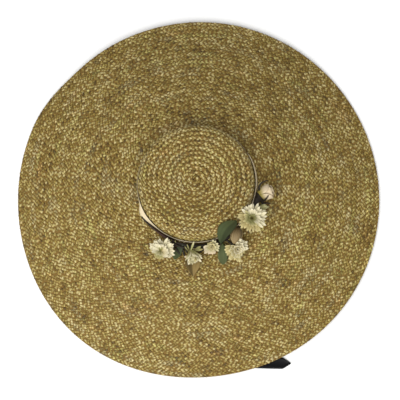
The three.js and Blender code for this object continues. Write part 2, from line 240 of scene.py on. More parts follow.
def last_row_width(azimuth):
    """The last row narrows to nothing at the braid's end."""
    behind = (azimuth - END_AZIMUTH) % 360.0
    return np.where(behind < END_TAPER, 0.5 - 0.5 * np.cos(np.pi * behind / END_TAPER), 1.0)


def rows_to_rim(azimuth):
    turned_on = ((END_AZIMUTH - azimuth) % 360.0) / 360.0
    return BRIM_ROWS - 2 + turned_on + last_row_width(azimuth)


def waves(azimuth):
    angle = np.radians(azimuth)
    parts = [np.ones_like(angle)]
    for count in range(1, 6):
        parts += [np.cos(count * angle), np.sin(count * angle)]
    return np.stack(parts, axis=-1)


sample = np.arange(0.5, 360.0)
wanted = (RIM_RADIUS * rim_value(1, sample) - BRIM_START) / rows_to_rim(sample)
wave_sizes = np.linalg.lstsq(waves(sample), wanted, rcond=None)[0]


def brim_pitch(azimuth):
    return waves(azimuth) @ wave_sizes


def brim_surface(rows, azimuth):
    """A point of the brim's upper face, by braid rows out from the crown's foot."""
    rows = np.maximum(rows, 0.0)
    angle = np.radians(azimuth)
    share = rows / rows_to_rim(azimuth)
    radius = BRIM_START + brim_pitch(azimuth) * rows
    lift = FOOT_HEIGHT * np.maximum(0.0, rim_value(2, azimuth))
    return np.stack(
        [
            CROWN_MIDDLE[0] * (1 - share) + radius * np.cos(angle),
            CROWN_MIDDLE[1] * (1 - share) + radius * np.sin(angle),
            FOOT_HEIGHT - (FOOT_HEIGHT - STRAW - lift) * fall(share),
        ],
        axis=-1,
    )


print("row spacing on the brim, mm:", wanted.min().round(2), "to", wanted.max().round(2))

# %% Rows of the crown
CROWN_TOP = 89.0
SHOULDER = 12.5
SHOULDER_REACH = CROWN_RADIUS - WALL_LEAN - SHOULDER
CROWN_DOME = 1.4
CROWN_PITCH = 5.76

line = []
for reach in np.linspace(0, 1, 28)[:-1]:
    dip = smooth_curve([0, 0.25, 0.5, 0.75, 1], [0, 0, 0.16, 0.5, 1], np.array(reach))
    line.append((SHOULDER_REACH * reach, CROWN_TOP - CROWN_DOME * float(dip)))
for turn in np.radians(np.linspace(0, 90, 16)):
    line.append(
        (
            SHOULDER_REACH + SHOULDER * math.sin(turn),
            CROWN_TOP - CROWN_DOME - SHOULDER + SHOULDER * math.cos(turn),
        )
    )
line.append((CROWN_RADIUS, FOOT_HEIGHT - STRAW))
crown_line = np.array(line)
crown_run = np.concatenate([[0], np.cumsum(np.hypot(*np.diff(crown_line, axis=0).T))])
CROWN_ROWS = crown_run[-1] / CROWN_PITCH


def crown_surface(rows, azimuth):
    """A point of the crown's outer face, by braid rows out from the crown's middle."""
    run = np.clip(rows * CROWN_PITCH, 0.02, crown_run[-1])
    reach = np.interp(run, crown_run, crown_line[:, 0])
    angle = np.radians(azimuth)
    return np.stack(
        [
            CROWN_MIDDLE[0] + reach * np.cos(angle),
            CROWN_MIDDLE[1] + reach * np.sin(angle),
            np.interp(run, crown_run, crown_line[:, 1]),
        ],
        axis=-1,
    )


print("rows on the crown:", round(float(CROWN_ROWS), 1))

# %% [markdown]
# ## Laying the braid
# A place on the braid has three numbers: how far along it, how far in from its outer
# edge, and how high above its middle. Each row lies over the next one out, like a
# shingle, so its outer edge stands higher. The same helper lays the flat strip of the
# braid and every straw of its plait.

# %% The spiral
ROW_TILT = 1.15
STRIP_THICK = 0.8
STRIP_SINK = 0.55


def outward(surface, rows, azimuth):
    """The surface's direction away from the straw."""
    along = surface(rows, azimuth + 0.05) - surface(rows, azimuth - 0.05)
    across = surface(rows + 0.02, azimuth) - surface(rows - 0.02, azimuth)
    normal = np.cross(across, along)
    return normal / np.maximum(np.linalg.norm(normal, axis=-1, keepdims=True), 1e-9)


class Spiral:
    """One run of braid, sewn in a spiral on a surface."""

    def __init__(self, surface, pitch_at, azimuth_start, first, last, most_rows):
        self.surface, self.pitch_at, self.start = surface, pitch_at, azimuth_start
        self.turns = np.linspace(first, last, int((last - first) * 240))
        self.most_rows = most_rows
        middle = surface(np.maximum(self.turns - 0.5, 0.12), self.azimuth(self.turns))
        steps = np.linalg.norm(np.diff(middle, axis=0), axis=1)
        self.lengths = np.concatenate([[0], np.cumsum(steps)])
        self.length = self.lengths[-1]

    def azimuth(self, turns):
        return self.start - 360.0 * turns

    def rows(self, along, across):
        """The row number of a place, and its share of the row's width."""
        turns = np.interp(along, self.lengths, self.turns)
        azimuth = self.azimuth(turns)
        pitch = self.pitch_at(azimuth)
        share = 1 + across / pitch
        if self.surface is brim_surface:
            near_end = turns > self.turns[-1] - END_TAPER / 360.0
            width = np.where(near_end, last_row_width(azimuth), 1.0)
            share = np.where(share > 0, share * width, share)
        return np.clip(turns - 1 + share, 0.0, self.most_rows), share, azimuth

    def place(self, along, across, height):
        rows, share, azimuth = self.rows(along, across)
        away = outward(self.surface, np.maximum(rows, 0.05), azimuth)
        lifted = height - STRIP_SINK + ROW_TILT * (share - 0.5)
        return self.surface(rows, azimuth) + away * lifted[..., None]


brim_spiral = Spiral(brim_surface, brim_pitch, END_AZIMUTH, 0.2, BRIM_ROWS, BRIM_ROWS + 1.0)
crown_spiral = Spiral(
    crown_surface, lambda azimuth: CROWN_PITCH + 0 * azimuth, 40.0, 0.45, CROWN_ROWS + 1, CROWN_ROWS
)
for name, spiral in (("brim", brim_spiral), ("crown", crown_spiral)):
    print(name, "braid in metres:", round(spiral.length * MM, 1))

# %% [markdown]
# ## The finish of the straw
# Wheat straw is dry, a little glossy and very uneven in colour: most straws are a dull
# gold, some greener, greyer or browner. Each straw carries its own colour in an
# attribute of the mesh, and the shader adds fine streaks along it.


# %% Straw finish
def read_attribute(finish, name):
    node = finish.node_tree.nodes.new("ShaderNodeAttribute")
    node.attribute_name = name
    return node


def streaked_finish(name, roughness, streaks, specular, grain_size=(0.6, 7.0)):
    """A finish whose colour is an attribute, with streaks along the piece's own map."""
    finish = plain_finish(name, (0.5, 0.5, 0.5), roughness)
    nodes, links = finish.node_tree.nodes, finish.node_tree.links
    shader = nodes["Principled BSDF"]
    shader.inputs["Specular IOR Level"].default_value = specular
    colour = read_attribute(finish, "tone")
    place = nodes.new("ShaderNodeUVMap")
    place.uv_map = "straw"
    stretch = nodes.new("ShaderNodeMapping")
    stretch.inputs["Scale"].default_value = (*grain_size, 1.0)
    links.new(place.outputs["UV"], stretch.inputs["Vector"])
    grain = nodes.new("ShaderNodeTexNoise")
    grain.inputs["Scale"].default_value = 1.0
    grain.inputs["Detail"].default_value = 2.0
    links.new(stretch.outputs["Vector"], grain.inputs["Vector"])
    strength = nodes.new("ShaderNodeMapRange")
    strength.inputs["From Min"].default_value = 0.3
    strength.inputs["From Max"].default_value = 0.7
    strength.inputs["To Min"].default_value = 1.0 - streaks
    strength.inputs["To Max"].default_value = 1.0 + streaks * 0.5
    links.new(grain.outputs["Fac"], strength.inputs["Value"])
    mix = nodes.new("ShaderNodeVectorMath")
    mix.operation = "SCALE"
    links.new(colour.outputs["Color"], mix.inputs[0])
    links.new(strength.outputs["Result"], mix.inputs["Scale"])
    links.new(mix.outputs["Vector"], shader.inputs["Base Color"])
    return finish


straw_finish = streaked_finish("straw_plait", 0.5, 0.5, 0.35, (1.3, 2.7))
# The backing strip is a darker straw colour: painted shade that shows in the gaps between lozenges.
backing_painted_shade_finish = plain_finish("straw_backing_painted_shade", linear(112, 84, 26), 0.8)
print("straw finishes are ready")

# %% [markdown]
# ## The strip of the braid
# Under the plait's relief the braid is one thin strip. A long grid gives it: the grid's
# length follows the spiral, its width goes from the outer edge to the edge that is
# tucked under the next row in, and Solidify gives it the straw's thickness.


# %% Finishing a piece
def put_on_hat(name, mesh, finish):
    """Makes a mesh a piece of the scene that rides on the hat."""
    piece = add_object(name, mesh)
    mesh.materials.append(finish)
    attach(piece, "root")
    return piece


def finish_piece(name, shape, finish, nodes, smooth=True):
    """Turns a bmesh in millimetres into a piece in metres, in the place of its solids."""
    bmesh.ops.scale(shape, vec=(MM, MM, MM), verts=shape.verts)
    mesh = bpy.data.meshes.new(name)
    shape.to_mesh(mesh)
    shape.free()
    if smooth:
        mesh.shade_smooth()
    piece = put_on_hat(name, mesh, finish)
    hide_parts(*nodes)
    return piece


def braid_strip(name, spiral, node):
    step = 4.0
    count = int(spiral.length / step)
    shape = bmesh.new()
    bmesh.ops.create_grid(shape, x_segments=count, y_segments=2, size=0.5)
    grid = np.array([vertex.co for vertex in shape.verts])
    along = (grid[:, 0] + 0.5) * spiral.length
    across = (grid[:, 1] - 0.5) * (CROWN_PITCH + BRAID_OVERLAP)
    upper = spiral.place(along, across, 0 * along)
    for vertex, point in zip(shape.verts, upper):
        vertex.co = point
    bmesh.ops.dissolve_degenerate(shape, dist=0.01, edges=shape.edges)
    bmesh.ops.recalc_face_normals(shape, faces=shape.faces)
    if sum(face.normal.z * face.calc_area() for face in shape.faces) < 0:
        bmesh.ops.reverse_faces(shape, faces=shape.faces)
    bmesh.ops.solidify(shape, geom=shape.faces[:], thickness=STRIP_THICK)
    piece = finish_piece(name, shape, backing_painted_shade_finish, [node], smooth=False)
    print(name, "has", len(piece.data.polygons), "faces")


braid_strip("brim_strip", brim_spiral, "brim")
braid_strip("crown_strip", crown_spiral, "crown")

# %% [markdown]
# ## The plait
# In a flat plait the straws run slantwise, over one and under one. What shows is a field
# of small lozenges, in lines along the braid, whose straws slant one way in one line and
# the other way in the next. One lozenge is made from a cube, with its top narrowed to a
# ridge along the straw. It is then repeated along the whole braid with arrays, which is
# the only quick way to lay some forty-two thousand of them.

# %% One lozenge
PLAIT_REPEAT = 20.7
STRAWS = 4
LINES = 4
LINE_STEP = (CROWN_PITCH + BRAID_OVERLAP) / LINES
COLUMN_STEP = PLAIT_REPEAT / STRAWS
STRAW_SLANT = math.atan(2 * LINE_STEP / COLUMN_STEP)
RIDGE = 0.55

lozenge = bmesh.new()
bmesh.ops.create_cube(lozenge, size=1.0)
top_corners = [corner for corner in lozenge.verts if corner.co.z > 0]
bmesh.ops.scale(lozenge, vec=(0.66, 0.4, 1.0), verts=top_corners)
bmesh.ops.translate(lozenge, vec=(0, 0, 0.5), verts=lozenge.verts)
corners = np.array([corner.co for corner in lozenge.verts])
sides = np.array([[corner.index for corner in face.verts] for face in lozenge.faces])
lozenge.free()
print("lozenge:", len(corners), "corners; columns every", round(COLUMN_STEP, 2), "mm")

# %% [markdown]
# The plait's colours are a few straw tones. They are mixed by chance, by
# which straw of the plait shows, by patches a few rows broad and by slow drifts along the
# braid, because a straw is a hand long and the next one spliced in may be paler or browner.

# %% Colours of the straws
rng = np.random.default_rng(2435)
TONES = np.array(
    [
        linear(84, 63, 14),
        linear(124, 102, 37),
        linear(148, 127, 60),
        linear(167, 149, 87),
        linear(191, 176, 121),
    ]
)
GREYISH, OLIVE, RUSSET = linear(164, 152, 116), linear(118, 112, 56), linear(138, 100, 52)
# tint, its size along the braid in mm, how rare it is, its greatest share
TINTS = ((GREYISH, 22, 0.35, 0.5), (OLIVE, 30, 0.4, 0.55), (RUSSET, 26, 0.8, 0.35))
STRAW_LENGTH = 170
# how light each line is, outer edge to tucked edge; painted light by the raised edge, painted shade
# on the tucked line
BRIM_LINE_LIGHT_AND_SHADE, CROWN_LINE_LIGHT_AND_SHADE = [0.46, 0.7, 0.57, 0.2], [0.32, 0.92, 0.62, -0.34]
# how much lighter each straw of the plait is
BRIM_STRAWS, CROWN_STRAWS = [0.27, 0.08, -0.25, -0.1], [0.18, 0.05, -0.15, -0.08]
# painted shade: how much of its colour each straw keeps at its foot, down in the gaps
FOOT_PAINTED_SHADE = (0.68, 0.59, 0.4)


def drift(along, scale, seed):
    """A smooth random value along the braid, about -1 to 1."""
    values = np.random.default_rng(seed).normal(0, 0.6, int(along.max() / scale) + 3)
    return smooth_curve(np.arange(len(values)) * scale, values, along)


def by_line(line, along, scale, seed):
    """A drift of its own for each line of the braid."""
    return sum(np.where(line == one, drift(along, scale, seed + one), 0) for one in range(LINES))


def patches(plan, seed):
    """A smooth random value over the hat, about -1 to 1, alike over a few rows."""
    chance = np.random.default_rng(seed)
    waves = 24
    value = np.zeros(len(plan))
    for _ in range(waves):
        heading, start = chance.uniform(0, 2 * math.pi, 2)
        run = plan[:, 0] * math.cos(heading) + plan[:, 1] * math.sin(heading)
        value += np.sin(run * 2 * math.pi / chance.uniform(14, 60) + start)
    return value / math.sqrt(waves)


def straw_colours(along, line, plan, line_light_and_shade, straw_tones, seed):
    """Each lozenge's colour, by its place along the braid, its line (with the painted light and
    shade of the row's step) and the straw it shows.
    """
    most_pieces = int(along.max() / STRAW_LENGTH) + 9
    pieces = np.random.default_rng(seed).normal(0, 1, (STRAWS, most_pieces))
    run = np.where(line % 2 == 0, line, 2 * STRAWS - line)
    straw = np.round(along / COLUMN_STEP - 0.5 * run - 0.25).astype(int) % STRAWS
    piece = (along / STRAW_LENGTH + straw * 0.37).astype(int)
    tone = (
        np.array(line_light_and_shade)[line]
        + np.array(straw_tones)[straw]
        + 0.15 * drift(along, 40, seed + 2)
        + 0.08 * by_line(line, along, 8, seed + 5)
        + 0.07 * pieces[straw, piece]
        + 0.1 * patches(plan, 7)
        + rng.normal(0, 0.08, along.shape)
    )
    tone = np.clip(tone, 0, 1) * (len(TONES) - 1)
    low = np.clip(tone.astype(int), 0, len(TONES) - 2)
    colour = TONES[low] + (TONES[low + 1] - TONES[low]) * (tone - low)[:, None]
    for tint, scale, rarity, most in TINTS:
        share = drift(along, scale, seed + 3 + scale) - rarity + rng.normal(0, 0.25, along.shape)
        share = np.clip(share + 0.35 * patches(plan, scale), 0, 1)[:, None] * most
        tinted = colour.mean(axis=1, keepdims=True) / np.mean(tint) * np.array(tint)
        colour = colour * (1 - share) + tinted * share
    return np.clip(colour, 0, 1)


# %% Laying the lozenges
def lay_plait(name, spiral, first, last, under, seed, tones):
    """Lozenges on one face of the braid, between two lengths along it, in one mesh.

    Each one's place, size and turn differ a little by chance, like real straws.
    """
    column = np.arange(int(first / COLUMN_STEP), int(last / COLUMN_STEP))
    line = np.arange(LINES)
    column, line = [each.ravel() for each in np.meshgrid(column, line)]
    along = (column + 0.5 * (line % 2) + 0.5) * COLUMN_STEP
    plan = spiral.place(along, -(line + 0.5) * LINE_STEP, 0 * along)[:, :2]
    colours = straw_colours(along, line, plan, *tones, seed)
    along = along + 1.1 * by_line(line, along, 11, seed + 80) + rng.normal(0, 0.45, along.shape)
    across = -(line + 0.5) * LINE_STEP + rng.normal(0, 0.13, along.shape)
    if under:
        across = across - BRAID_OVERLAP
    raw_rows = np.interp(along, spiral.lengths, spiral.turns) + across / CROWN_PITCH
    kept = (raw_rows > 0.12) & (raw_rows < spiral.most_rows - 0.08) & (along < spiral.length - 3)
    line, along, across, colours = line[kept], along[kept], across[kept], colours[kept]
    count = len(along)
    pitch = spiral.pitch_at(spiral.azimuth(np.interp(along, spiral.lengths, spiral.turns)))
    across = across * pitch / CROWN_PITCH
    slant = np.where(line % 2 == 0, 1.0, -1.0)
    ridge = corners[None, :, 0] * rng.uniform(0.9, 1.25, (count, 1))
    width = corners[None, :, 1] * rng.uniform(0.8, 1.08, (count, 1))
    side = LINE_STEP / math.sin(STRAW_SLANT)
    angle = STRAW_SLANT + rng.normal(0, 0.1, (count, 1))
    local_along = (ridge + width) * side * np.cos(angle)
    local_across = (ridge - width) * side * np.sin(angle) * slant[:, None]
    top = corners[:, 2] > 0.5
    height = corners[None, :, 2] * RIDGE * rng.uniform(0.6, 1.25, (count, 1))
    height = height + corners[None, :, 0] * rng.normal(0, 0.16, (count, 1)) * top
    height = np.where(top, height, -0.1)
    if under:
        height = -STRIP_THICK - height
    out = np.minimum(across[:, None] + local_across, 0.25)
    points = spiral.place(along[:, None] + local_along, out, height).reshape(-1, 3) * MM
    faces = sides if not under else sides[:, ::-1]
    order = np.where((slant > 0)[:, None, None], faces, faces[:, ::-1])
    order = order + (np.arange(count) * len(corners))[:, None, None]
    mesh = bpy.data.meshes.new(name)
    mesh.vertices.add(len(points))
    mesh.vertices.foreach_set("co", points.astype(np.float32).ravel())
    mesh.loops.add(order.size)
    mesh.loops.foreach_set("vertex_index", order.astype(np.int32).ravel())
    mesh.polygons.add(count * len(sides))
    mesh.polygons.foreach_set("loop_start", np.arange(0, order.size, 4, dtype=np.int32))
    mesh.update(calc_edges=True)
    tone = mesh.attributes.new("tone", "FLOAT_COLOR", "POINT")
    rgba = np.ones((count, len(corners), 4), np.float32)
    rgba[..., :3] = colours[:, None, :]
    # painted shade: the bottom corners of each lozenge are darkened
    rgba[:, ~top, :3] *= FOOT_PAINTED_SHADE
    tone.data.foreach_set("color", rgba.ravel())
    chart = mesh.uv_layers.new(name="straw")
    spot = (corners[None, :, :2] + rng.uniform(0, 50, (count, 1, 2))).reshape(-1, 2)
    chart.data.foreach_set("uv", spot[order.ravel()].astype(np.float32).ravel())
    mesh.validate()
    mesh.shade_smooth()
    put_on_hat(name, mesh, straw_finish)
    print(name, "has", count, "lozenges")


half = brim_spiral.length * 0.5
brim_end, crown_end = brim_spiral.length, crown_spiral.length
BRIM_LOOK, CROWN_LOOK = (BRIM_LINE_LIGHT_AND_SHADE, BRIM_STRAWS), (CROWN_LINE_LIGHT_AND_SHADE, CROWN_STRAWS)
for each in (
    ("brim_plait_inner",brim_spiral, 0, half, False, 10, BRIM_LOOK),
    ("brim_plait_outer", brim_spiral, half, brim_end, False, 20, BRIM_LOOK),
    ("brim_plait_inner_under", brim_spiral, 0, half, True, 30, BRIM_LOOK),
    ("brim_plait_outer_under", brim_spiral, half, brim_end, True, 40, BRIM_LOOK),
    ("crown_plait", crown_spiral, 0, crown_end, False, 50, CROWN_LOOK),
    ("crown_plait_under", crown_spiral, 0, crown_end, True, 60, CROWN_LOOK),
):
    lay_plait(*each)

# %% [markdown]
# ## The pale ribbon
# A narrow satin ribbon goes round the foot of the crown, against its wall, so that from
# above little more than its upper edge shows. At the left it is twisted and lies over,
# and its face is seen. It is a long grid, bent round the wall by a table of azimuths,
# and given the thickness of satin.


# %% Places round the crown
def by_wall(azimuth, out, height):
    """A point by azimuth round the crown, distance out from its wall, and height."""
    angle = math.radians(azimuth)
    return Vector(
        (
            CROWN_MIDDLE[0] + (CROWN_RADIUS + out) * math.cos(angle),
            CROWN_MIDDLE[1] + (CROWN_RADIUS + out) * math.sin(angle),
            height,
        )
    )


def brim_height(azimuth, out):
    """The height of the brim's upper face near the crown."""
    pitch = float(brim_pitch(np.array(float(azimuth))))
    rows = max(0.0, out - CLEAR) / pitch * 1.01
    return float(brim_surface(np.array(rows), np.array(float(azimuth)))[2])


def table_value(rows, column, at):
    keys = [row[0] for row in rows]
    return float(smooth_curve(keys, [row[column] for row in rows], np.array(float(at))))


# %% Crown ribbon
# azimuth, how far the band lies over in degrees, its breadth
RIBBON = [
    (32, 7, 3.0),
    (27, 11, 6.0),
    (10, 10, 8.0),
    (-12, 9, 8.4),
    (-30, 7, 8.0),
    (-60, 3, 6.6),
    (-100, 3, 5.8),
    (-128, 3, 7.2),
    (-137, 9, 8.6),
    (-142, 19, 8.8),
    (-147, 34, 8.6),
    (-152, 41, 8.2),
    (-156, 35, 7.4),
    (-160, 16, 6.6),
    (-166, 6, 5.4),
    (-180, 4, 4.4),
    (-240, 1, 3.4),
    (-326, 1, 3.4),
]
# the keys of a table have to rise, so the azimuths are counted the other way
RIBBON = [(-row[0], row[1], row[2]) for row in RIBBON]
SATIN = 0.35

PALE_SATIN = streaked_finish("pale_satin", 0.38, 0.08, 0.5)
# The ribbon's colour holds painted light and shade: pale where it lies over and along its upper
# edge, painted dark shade at its foot under the garland.
RIBBON_PAINTED_LIGHT, RIBBON_PAINTED_SHADE = linear(208, 192, 158), linear(52, 40, 28)
shape = bmesh.new()
bmesh.ops.create_grid(shape, x_segments=240, y_segments=3, size=0.5)
tone_layer = shape.verts.layers.float_color.new("tone")
for vertex in shape.verts:
    along, across = vertex.co.x + 0.5, vertex.co.y + 0.5
    turned_by = RIBBON[0][0] + along * (RIBBON[-1][0] - RIBBON[0][0])
    over = math.radians(table_value(RIBBON, 1, turned_by))
    breadth = table_value(RIBBON, 2, turned_by)
    foot_out = 0.6 + breadth * math.sin(over)
    foot = by_wall(-turned_by, foot_out, brim_height(-turned_by, foot_out) + 0.9)
    radial = (by_wall(-turned_by, 1, 0) - by_wall(-turned_by, 0, 0)).normalized()
    lean = radial * -math.sin(over) + Vector((0, 0, 1)) * math.cos(over)
    ripple = radial * (0.02 * breadth * math.sin(over) * math.sin(along * 61) * math.sin(across * 3))
    vertex.co = foot + lean * (breadth * across) + ripple
    painted_light_share = min(1.0, max(0.0, math.sin(over) * 10.0 - 0.5) + 0.8 * across**2)
    vertex[tone_layer] = (*[dim + (lit - dim) * painted_light_share for lit, dim in zip(RIBBON_PAINTED_LIGHT, RIBBON_PAINTED_SHADE)], 1.0)
bmesh.ops.recalc_face_normals(shape, faces=shape.faces)
bmesh.ops.solidify(shape, geom=shape.faces[:], thickness=SATIN)
finish_piece("ribbon_band", shape, PALE_SATIN, ["crown_ribbon"])
print("ribbon is laid round the crown")

# %% [markdown]
# ## Twigs and blades
# Two helpers make every dried piece of the garland. A twig is a grid rolled into a
# tapering tube along a few points, with its seam and its ends merged. A blade is a grid
# drawn in to a leaf's or a petal's outline, cupped, curled and folded, then given the
# thickness of paper. Both write their colour into the same attribute as the straw.


# %% Twig and blade
def toned(colours, along):
    """The colour at a share of a piece's length, from its base to its tip."""
    stops = np.linspace(0, 1, len(colours))
    return [float(np.interp(along, stops, [colour[i] for colour in colours])) for i in range(3)]


def twig(shape, points, radii, colours, steps, knots=0.0):
    """A tapering tube along the points, closed at both ends."""
    tone_layer = shape.verts.layers.float_color["tone"]
    spans = len(points) - 1
    keys = list(range(spans + 1))

    def path(share):
        at = np.array(share * spans)
        return Vector([float(smooth_curve(keys, [p[i] for p in points], at)) for i in range(3)])

    made = bmesh.ops.create_grid(shape, x_segments=8, y_segments=steps, size=0.5)["verts"]
    for vertex in made:
        turn, along = (vertex.co.x + 0.5) * 2 * math.pi, vertex.co.y + 0.5
        middle = path(along)
        ahead = (path(min(1, along + 0.01)) - path(max(0, along - 0.01))).normalized()
        side = ahead.cross(Vector((0, 0, 1))).normalized()
        radius = float(np.interp(along, np.linspace(0, 1, len(radii)), radii))
        radius *= 1 + knots * noise.noise(Vector((along * 9, spans, 3.1)))
        if along < 0.001 or along > 0.999:
            radius = 0.0
        vertex.co = middle + (side * math.cos(turn) + side.cross(ahead) * math.sin(turn)) * radius
        vertex[tone_layer] = (*toned(colours, along), 1.0)
    bmesh.ops.remove_doubles(shape, verts=made, dist=0.002)
    alive = [vertex for vertex in made if vertex.is_valid]
    faces = list({face for vertex in alive for face in vertex.link_faces})
    bmesh.ops.recalc_face_normals(shape, faces=faces)


PETAL_OUTLINE = [(0, 0.34), (0.25, 0.68), (0.55, 1.0), (0.78, 0.94), (0.92, 0.56), (1.0, 0.1)]
BRACT_OUTLINE = [(0, 0.34), (0.25, 0.68), (0.55, 1.0), (0.78, 0.8), (0.92, 0.4), (1.0, 0.05)]
LEAF_OUTLINE = [(0, 0.1), (0.18, 0.56), (0.5, 0.97), (0.72, 0.96), (0.9, 0.62), (1.0, 0.1)]
FOLDED_OUTLINE = [(0, 0.6), (0.3, 1.0), (0.55, 0.84), (0.8, 0.42), (1.0, 0.06)]
PAPER = 0.3


def map_and_thicken(shape, made, spots):
    """Gives a grid its map for the streaks, and the thickness of paper."""
    chart = shape.loops.layers.uv["straw"]
    faces = list({face for vertex in made for face in vertex.link_faces})
    for face in faces:
        for loop in face.loops:
            loop[chart].uv = spots[loop.vert]
    bmesh.ops.recalc_face_normals(shape, faces=faces)
    bmesh.ops.solidify(shape, geom=faces, thickness=PAPER)


def blade(
    shape, place, length, breadth, colours, outline, cup=0.25, curl=0.1, fold=0.0, bow=0.0,
    steps=(4, 7), wave=0.0, seed=0.0, right_share=1.0,
):
    """A petal or a leaf in its place: along +Y, its upper face to +Z."""
    tone_layer = shape.verts.layers.float_color["tone"]
    made = bmesh.ops.create_grid(shape, x_segments=steps[0], y_segments=steps[1], size=0.5)["verts"]
    spots = {}
    for vertex in made:
        across, along = vertex.co.x * 2, vertex.co.y + 0.5
        half = table_value(outline, 1, along) * breadth / 2
        ripple = wave * breadth * noise.noise(Vector((across * 1.3, along * 3.1, seed)))
        rise = cup * half * across**2 + fold * half * abs(across) + curl * length * along**2
        aside = bow * length * 4 * along * (1 - along)
        spots[vertex] = (along, across / 2 + 0.5)
        vertex.co = place @ Vector((across * half + aside, along * length, rise + ripple))
        # painted shade: the blade's right half is darkened by this share, as if turned from the lamp
        shade = right_share if across > 0.01 else 1.0
        vertex[tone_layer] = (*[c * shade for c in toned(colours, along)], 1.0)
    map_and_thicken(shape, made, spots)


def new_shape():
    shape = bmesh.new()
    shape.verts.layers.float_color.new("tone")
    shape.loops.layers.uv.new("straw")
    return shape


PAPERY_PETAL = streaked_finish("papery_petal", 0.6, 0.14, 0.3)
LEAF_GREEN = streaked_finish("dried_leaf", 0.8, 0.16, 0.1)
DARK_STALK = streaked_finish("dark_stalk", 0.6, 0.2, 0.3)
print("helpers for the garland are ready")

# %% [markdown]
# ## Dried flowers
# They are papery everlastings: rings of pointed petals, longer and flatter outside,
# shorter and steeper inside. Each flower has its place, the way its axis leans, and a
# short table of rings. The second lies on its side, and the others face nearly upward.


# %% Flower maker
def aim(origin, lean, heading):
    """A frame at a place whose +Z leans by an angle to an azimuth."""
    side = Vector((-math.sin(math.radians(heading)), math.cos(math.radians(heading)), 0))
    return Matrix.Translation(origin) @ Matrix.Rotation(math.radians(lean), 4, side)


def petal_place(axis_frame, turn, rise, start, height):
    """A petal's frame: it leaves the axis at a turn, rising from the flat."""
    return (
        axis_frame
        @ Matrix.Rotation(math.radians(turn - 90), 4, "Z")
        @ Matrix.Translation((0, start, height))
        @ Matrix.Rotation(math.radians(rise), 4, "X")
    )


def between(base, tip):
    """The frame of a blade from its base towards its tip, and its length."""
    run = tip - base
    lying = run.to_track_quat("Y", "Z").to_matrix().to_4x4()
    return Matrix.Translation(base) @ lying, run.length


def flower(node, origin, lean, heading, rings, bracts=(), seed=1):
    """A ring's row: how many petals, their length, breadth and rise, how far from the axis
    and how high they start, the ring's turn and reach in degrees, colours from the base."""
    chance = np.random.default_rng(seed)
    shape = new_shape()
    axis_frame = aim(origin, lean, heading)
    for count, length, breadth, rise, start, height, turn, reach, tones in rings:
        for i in range(count):
            spread = reach / count if reach < 360 else 360 / count
            at = turn + (i - (count - 1) / 2) * spread + chance.uniform(-0.18, 0.18) * spread
            shade = chance.uniform(0.86, 1.06)
            colours = [[c * shade for c in tone] for tone in tones]
            blade(
                shape,
                petal_place(axis_frame, at, rise + chance.uniform(-7, 7), start, height)
                @ Matrix.Rotation(math.radians(chance.uniform(-14, 14)), 4, "Y"),
                length * chance.uniform(0.86, 1.1),
                breadth * chance.uniform(0.85, 1.12),
                colours,
                PETAL_OUTLINE,
                cup=chance.uniform(0.2, 0.5),
                curl=chance.uniform(-0.02, 0.14),
                wave=0.06,
                seed=float(i),
            )
    for base, tip, breadth, tones in bracts:
        place, length = between(base, tip)
        blade(shape, place, length, breadth, tones, BRACT_OUTLINE, curl=0.08)
    finish_piece(node + "_petals", shape, PAPERY_PETAL, [node])
    print(node, "has", sum(ring[0] for ring in rings), "petals")


CREAM = linear(198, 189, 150)
IVORY = linear(214, 205, 174)
GREENISH = linear(150, 147, 94)
STRAWY = linear(172, 156, 102)
YELLOWISH = linear(196, 182, 128)
PINKISH = linear(204, 187, 158)
BRACT = linear(96, 88, 40)

flower(
    "flower_1",
    by_wall(242.0, 20.0, 63.5),
    12,
    262,
    [
        (7, 8.0, 3.8, 8, 1.0, 1.2, 252, 130, (BRACT, GREENISH, STRAWY)),
        (9, 13.0, 3.4, 16, 1.0, 2.0, 120, 92, (STRAWY, CREAM, IVORY)),
        (12, 17.0, 3.5, 14, 1.0, 2.2, 14, 98, (STRAWY, CREAM, IVORY)),
        (9, 10.0, 3.2, 32, 0.8, 3.0, 130, 120, (CREAM, IVORY)),
        (10, 12.0, 3.4, 32, 0.8, 3.0, 8, 110, (STRAWY, IVORY)),
        (5, 7.0, 2.6, 46, 0.4, 3.2, 250, 130, (GREENISH, CREAM)),
        (3, 6.0, 2.4, 30, 0.6, 3.6, 74, 60, (BRACT, GREENISH)),
    ],
    bracts=[
        (by_wall(242.6, 8.5, 64), by_wall(243.4, 3.6, 68), 3.0, (BRACT, GREENISH)),
        (by_wall(245.6, 8.5, 64), by_wall(246.5, 3.0, 67), 2.4, (BRACT, BRACT)),
        (by_wall(249.0, 7.5, 63), by_wall(250.5, 2.6, 66), 2.4, (BRACT, GREENISH)),
    ],
    seed=11,
)
